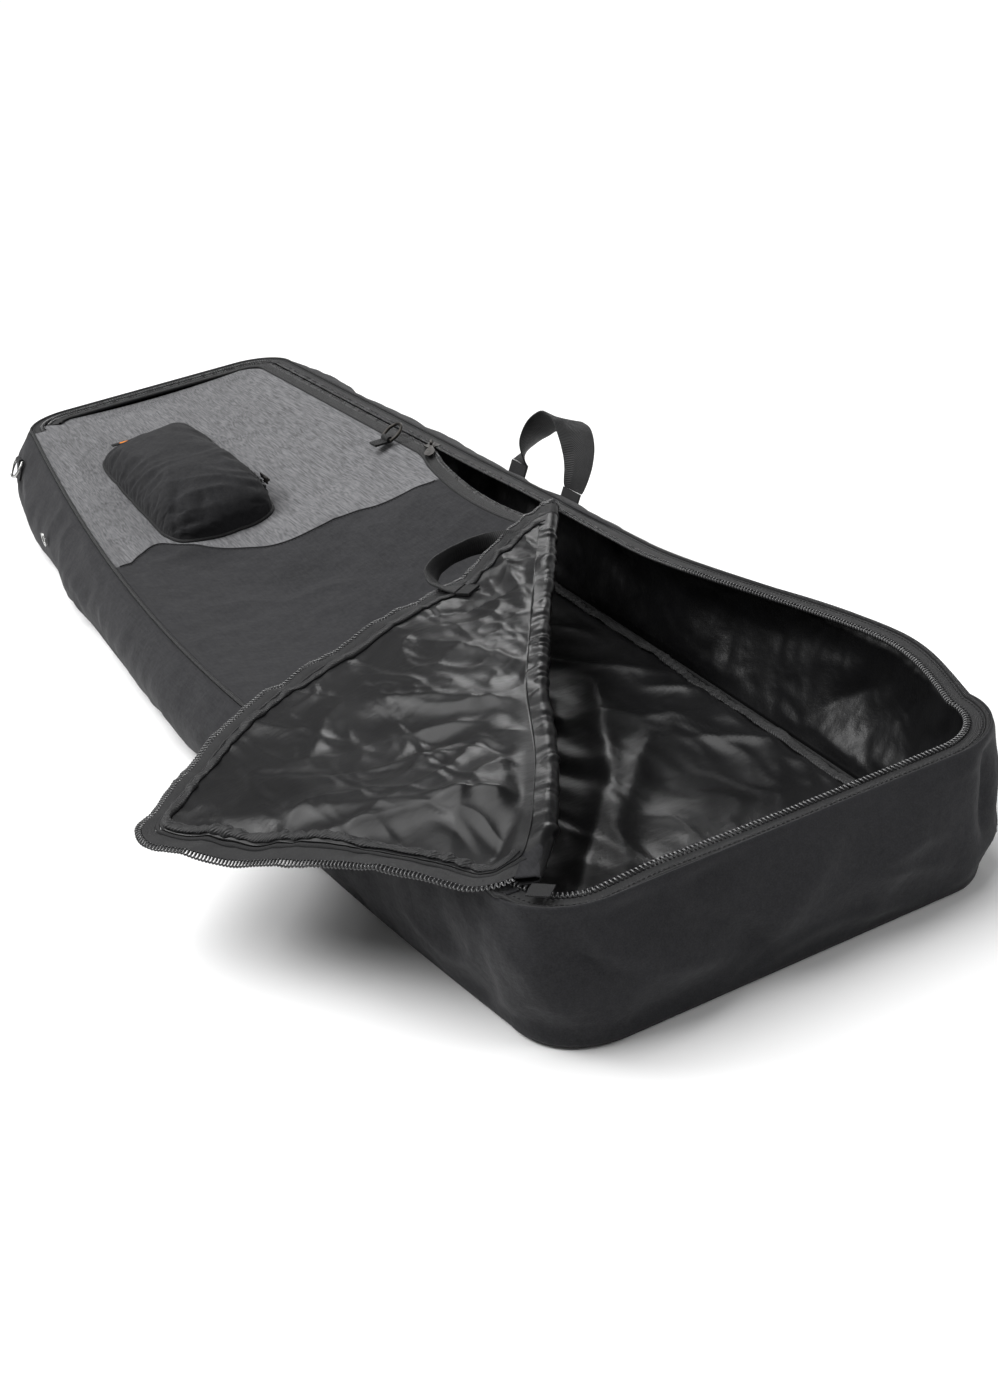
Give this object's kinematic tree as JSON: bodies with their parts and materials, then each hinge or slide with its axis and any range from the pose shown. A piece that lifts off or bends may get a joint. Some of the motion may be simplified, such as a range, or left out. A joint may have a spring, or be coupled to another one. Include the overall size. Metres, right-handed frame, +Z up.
{
  "type": "snowboard bag",
  "caption": "Long soft bag for a snowboard, lying on its back with the zipped lid opened round one end and its corner folded back over the lid.",
  "frame": {"origin": "middle of the bag's underside, on the floor it lies on", "axes": "+X along the bag from its open near end to its far end, +Y to the side that the lid is sewn to, +Z up out of the lid"},
  "size_m": [1.6578, 0.691, 0.1719],
  "materials": {
    "charcoal_polyester": "matt woven 600 denier polyester, charcoal",
    "heather_polyester": "two-tone grey melange weave",
    "black_lining": "smooth coated taffeta with a soft gloss",
    "zip_tape": "knitted black tape",
    "zip_coil": "black nylon coil",
    "piping": "black piping and binding",
    "webbing": "ribbed black webbing",
    "dark_metal": "gunmetal plated zinc",
    "bright_metal": "nickel plated steel",
    "label": "woven tab with a plain orange bar"
  },
  "bodies": {
    "bag_body": {"base_panel": "charcoal_polyester", "base_lining": "black_lining", "base_piping": "piping", "inner_seam_binding": "piping", "left_wall": "charcoal_polyester", "right_wall": "charcoal_polyester", "near_end_wall": "charcoal_polyester", "far_end_wall": "charcoal_polyester", "left_wall_lining": "black_lining", "right_wall_lining": "black_lining", "near_end_lining": "black_lining", "far_end_lining": "black_lining", "hinge_piping": "piping", "rim_piping": "piping", "rim_zip_tape": "zip_tape", "rim_zip_coil": "zip_coil", "lid_piping": "piping", "lid_zip_tape": "zip_tape", "lid_zip_coil": "zip_coil", "lid_grey_panel": "heather_polyester", "lid_charcoal_panel": "charcoal_polyester", "lid_lining": "black_lining", "pocket_panel": "charcoal_polyester", "pocket_zip_tape": "zip_tape", "pocket_zip_coil": "zip_coil", "pocket_label_tab": "label", "side_ring_tab": "webbing", "corner_ring_strap": "webbing", "zip_end_stop": "piping", "vent_eyelet": "bright_metal", "handle_patches": "webbing"},
    "lid_flap": {"flap_panel": "charcoal_polyester", "flap_lining": "black_lining", "flap_zip_tape": "zip_tape", "flap_zip_coil": "zip_coil", "flap_piping": "piping", "flap_seam_binding": "piping", "flap_handle_patches": "webbing"},
    "flap_loop": {"flap_handle": "webbing"},
    "carry_loop": {"carry_handle": "webbing"},
    "main_slider": {"zip_slider": "dark_metal"},
    "main_pull": {"zip_pull": "dark_metal"},
    "side_ring": {"side_d_ring": "dark_metal"},
    "corner_ring": {"corner_d_ring": "bright_metal"},
    "pocket_zip_slider": {"pocket_slider": "dark_metal"},
    "pocket_zip_pull": {"pocket_pull": "dark_metal"}
  },
  "joints": [
    {"name": "flap_fold", "type": "hinge", "parent": "bag_body", "child": "lid_flap", "pos_m": [-0.072, -0.208, 0.12433], "axis": [0.8734, -0.4867, -0.0161], "range_deg": [0, 184]},
    {"name": "slider_run", "type": "slide", "parent": "bag_body", "child": "main_slider", "axis": [0.9998, 0, -0.0184], "range_m": [-0.2, 0.5]},
    {"name": "pull_swing", "type": "hinge", "parent": "main_slider", "child": "main_pull", "pos_m": [0.2, -0.1861, 0.11732], "axis": [0.5, 0.866, 0], "range_deg": [0, 150]},
    {"name": "side_ring_swing", "type": "hinge", "parent": "bag_body", "child": "side_ring", "pos_m": [0.268, -0.1556, 0.11547], "axis": [-0.9998, 0, 0.0184], "range_deg": [0, 110]},
    {"name": "corner_ring_swing", "type": "hinge", "parent": "bag_body", "child": "corner_ring", "pos_m": [0.705, 0.21352, 0.08368], "axis": [1, 0, 0], "range_deg": [0, 140]},
    {"name": "pocket_slider_run", "type": "slide", "parent": "bag_body", "child": "pocket_zip_slider", "axis": [1, 0, 0], "range_m": [0, 0.235]},
    {"name": "pocket_pull_swing", "type": "hinge", "parent": "pocket_zip_slider", "child": "pocket_zip_pull", "pos_m": [0.3115, -0.0084, 0.094], "axis": [0, 0, -1], "range_deg": [0, 150]},
    {"name": "carry_handle_swing", "type": "hinge", "parent": "bag_body", "child": "carry_loop", "pos_m": [0.042, -0.2573, 0.0948], "axis": [-1, 0, 0], "range_deg": [-95, 15]},
    {"name": "flap_handle_swing", "type": "hinge", "parent": "lid_flap", "child": "flap_loop", "pos_m": [-0.21815, -0.06321, 0.12916], "axis": [-0.5273, 0.8493, -0.0243], "range_deg": [0, 10]}
  ]
}
